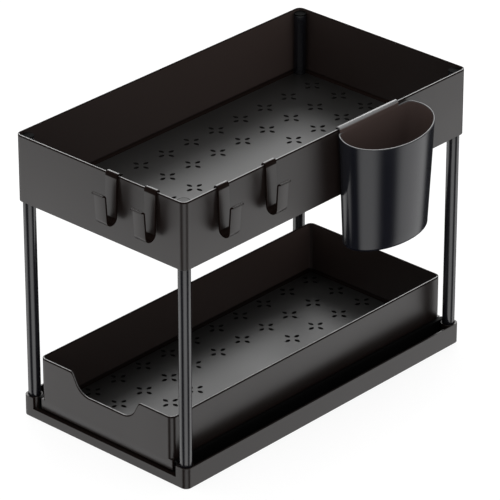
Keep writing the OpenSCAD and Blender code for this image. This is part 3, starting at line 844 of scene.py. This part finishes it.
hook_rows = bent_strip(hook_line(), HOOK_WIDTH, HOOK_THICKNESS, HOOK_EDGE)
hook_section = strip_section(HOOK_WIDTH, HOOK_THICKNESS, HOOK_EDGE)
cut_side = np.abs(hook_section[:, 0]) > HOOK_WIDTH / 2 - 0.6 * HOOK_EDGE
top_face = hook_section[:, 1] > 0
flat_top = END_ROWS + 2 + BEND_STEPS
plate_start = flat_top + 1 + BEND_STEPS + 1
station = np.arange(len(hook_rows))[:, None]
in_bend = (station > flat_top + 1) & (station <= plate_start)
foot_start = plate_start + 2
in_foot = (station > foot_start + FOOT_PAINTED_SHADE[0]) & (station < foot_start + FOOT_PAINTED_SHADE[1])
in_tip = station > len(hook_rows) - END_ROWS - TIP_STEPS
# Painted shade on the cut sides, the bend over the rim, the turn at the foot and, more lightly, the tip; a painted
# highlight on the clip's flat top over the rim
hook_shade = np.maximum(cut_side[None] | in_bend | in_foot, TIP_SHADE * in_tip)
hook_painted_highlight = top_face[None] & ~cut_side[None] & (station >= flat_top - 3) & (station <= flat_top + 1)
for node, body in (("hook_front_left", "front_left_hook"), ("hook_front_right", "front_right_hook"),
                   ("hook_side_front", "side_front_hook"), ("hook_side_back", "side_back_hook")):
    lo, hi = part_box(node)
    out, up, across = hook_rows[..., 0], hook_rows[..., 1] + tray_hi.z, hook_rows[..., 2]
    if "front_" in node[5:11]:
        points = np.stack([(lo.x + hi.x) / 2 + across, -tray_half_d - out, up], -1)
    else:
        points = np.stack([tray_half_w + out, (lo.y + hi.y) / 2 + across, up], -1)
    make_piece(f"{node}_strip", points, grid_faces(*points.shape[:2], False, True), TRAY_BLACK,
               body, node, "hook_plastic", painted_highlight=hook_painted_highlight, shade=hook_shade)

# %% [markdown]
# ## Cup
# The cup is a D in plan: an oval cut flat where it hangs against the tray. It tapers to its
# foot, its lower edge is round, and its mouth slopes down away from the tray. The surface is a
# function of the way round the D and the way down from the mouth.

# %% Cup
CUP_Y = 59.3 * MM
CUP_TOP = (57.0 * MM, 33.7 * MM)
CUP_FOOT = (50.5 * MM, 29.6 * MM)
CUP_AXIS = 16.6 * MM
CUP_BACK = tray_half_w + RIM_GAP
CUP_RIM_Z = 290.0 * MM
CUP_FOOT_Z = 176.0 * MM
CUP_SLOPE = 0.19
CUP_EDGE = 3.0 * MM
CUP_FOOT_SHADED = 10
CUP_RIM_EDGE = 0.6 * MM
ARC_STEPS = 120
BACK_STEPS = 40
CORNER_PASSES = 8
LIP_WIDTH = 81.5 * MM
LIP_DROP = 10.0 * MM
LIP_TOP_ROWS = (8, 18)
LIP_THICKNESS = WALL - 0.06 * MM
LIP_Y = 52.3 * MM


def cup_outline(half_y, half_x, inset):
    """The D at one level: an oval's arc from back corner to back corner, then the flat back."""
    limit = math.acos((inset - CUP_AXIS) / (half_x - inset))
    a = np.linspace(-limit, limit, ARC_STEPS)
    x = CUP_BACK + CUP_AXIS + (half_x - inset) * np.cos(a)
    y = (half_y - inset) * np.sin(a)
    back_y = np.linspace(y[-1], y[0], BACK_STEPS + 2)[1:-1]
    loop = np.column_stack([np.append(x, np.full(BACK_STEPS, CUP_BACK + inset)), np.append(y, back_y)])
    for _ in range(CORNER_PASSES):
        loop = 0.5 * loop + 0.25 * (np.roll(loop, 1, 0) + np.roll(loop, -1, 0))
    return loop + (0, CUP_Y)


def cup_row(inset, down=None, drop=0.0, height=None):
    """One ring of the cup's wall: down runs from 0 at the slanted mouth to 1 where the foot's round starts."""
    top = cup_outline(CUP_TOP[0], CUP_TOP[1], inset)
    foot = cup_outline(CUP_FOOT[0], CUP_FOOT[1], inset)
    if height is not None:
        return np.column_stack([foot, np.full(len(foot), height)])
    tall = CUP_RIM_Z - CUP_FOOT_Z - CUP_EDGE
    mouth = CUP_SLOPE * (top[:, 0] - CUP_BACK) / (tall - CUP_SLOPE * (foot[:, 0] - top[:, 0]))
    q = (mouth + drop / tall) * (1 - down) + down
    flat = top + q[:, None] * (foot - top)
    return np.column_stack([flat, CUP_RIM_Z - tall * q])


def closed_end(row):
    """Rings that shrink a level row to its middle."""
    middle = row.mean(0)
    return [middle + k * (row - middle) for k in (0.75, 0.5, 0.25, 0.00001)]


turn = np.linspace(0, np.pi / 2, 7)
outer_round = [cup_row(CUP_EDGE * (1 - math.cos(a)), height=CUP_FOOT_Z + CUP_EDGE * (1 - math.sin(a))) for a in turn]
inner_round = [cup_row(WALL + CUP_EDGE * (1 - math.cos(a)), height=CUP_FOOT_Z + WALL + CUP_EDGE * (1 - math.sin(a)))
               for a in turn]
outer_wall = [cup_row(0.0, down) for down in np.linspace(0, 1, 13)[1:-1]]
inner_wall = [cup_row(WALL, down) for down in np.linspace(0, 0.98, 13)[1:-1]]
mouth_rows = [cup_row(inset, 0.0, drop) for inset, drop in rim_rows(WALL, CUP_RIM_EDGE)]
cup_rows = np.stack(closed_end(outer_round[-1])[::-1] + outer_round[::-1] + outer_wall[::-1]
                    + mouth_rows + inner_wall + inner_round + closed_end(inner_round[-1]))
cup_painted_highlight, cup_shade, cup_inside = np.zeros((3, *cup_rows.shape[:2]))
# Painted shade on the foot's round, a painted highlight on the mouth's flat top, and a painted sheen on every face
# inside the mouth
cup_shade[:CUP_FOOT_SHADED] = 1.0
mouth_start = 4 + len(outer_round) + len(outer_wall)
cup_painted_highlight[mouth_start + EDGE_STEPS + 1:mouth_start + EDGE_STEPS + 3] = 1.0
cup_inside[mouth_start + RIM_ROWS - 2:] = 1.0
make_piece("cup_wall", cup_rows, grid_faces(*cup_rows.shape[:2], False, True), CUP_BLACK,
           "hanging_cup", "cup", "cup_plastic", painted_highlight=cup_painted_highlight, shade=cup_shade, inside=cup_inside)


def lip_line():
    """The lip's middle line as (out from the tray's wall, up from the tray's rim)."""
    out = RIM_GAP + WALL / 2
    top = RIM_GAP + WALL / 2
    inner = -WALL - RIM_GAP - WALL / 2
    bend = WALL
    return np.concatenate([
        [(inner, -LIP_DROP)], [(inner, -LIP_DROP / 2)],
        arc(inner + bend, top - bend, bend, 180, 90, 6),
        arc(out - bend, top - bend, bend, 90, 0, 6),
        [(out, -LIP_DROP / 2)], [(out, -LIP_DROP)]])


lip_rows = bent_strip(lip_line(), LIP_WIDTH, LIP_THICKNESS, RIM_EDGE)
lip_points = np.stack([tray_half_w + lip_rows[..., 0], LIP_Y + lip_rows[..., 2], lip_rows[..., 1] + tray_hi.z], -1)
lip_section = strip_section(LIP_WIDTH, LIP_THICKNESS, RIM_EDGE)
outward = lip_section[:, 1] > 0
lip_station = np.arange(len(lip_rows))
# A painted highlight on the lip's top, a painted sheen on its outer face below it, and painted shade on its cut sides
lip_painted_highlight = outward[None] & (lip_station > LIP_TOP_ROWS[0])[:, None] & (lip_station < LIP_TOP_ROWS[1])[:, None]
lip_inside = outward[None] & (lip_station >= LIP_TOP_ROWS[1])[:, None]
lip_shade = np.broadcast_to(np.abs(lip_section[:, 0]) > LIP_WIDTH / 2 - 0.6 * RIM_EDGE, lip_painted_highlight.shape)
make_piece("cup_lip", lip_points, grid_faces(*lip_points.shape[:2], False, True), CUP_BLACK,
           "hanging_cup", "cup", "cup_plastic", painted_highlight=lip_painted_highlight, shade=lip_shade, inside=lip_inside)
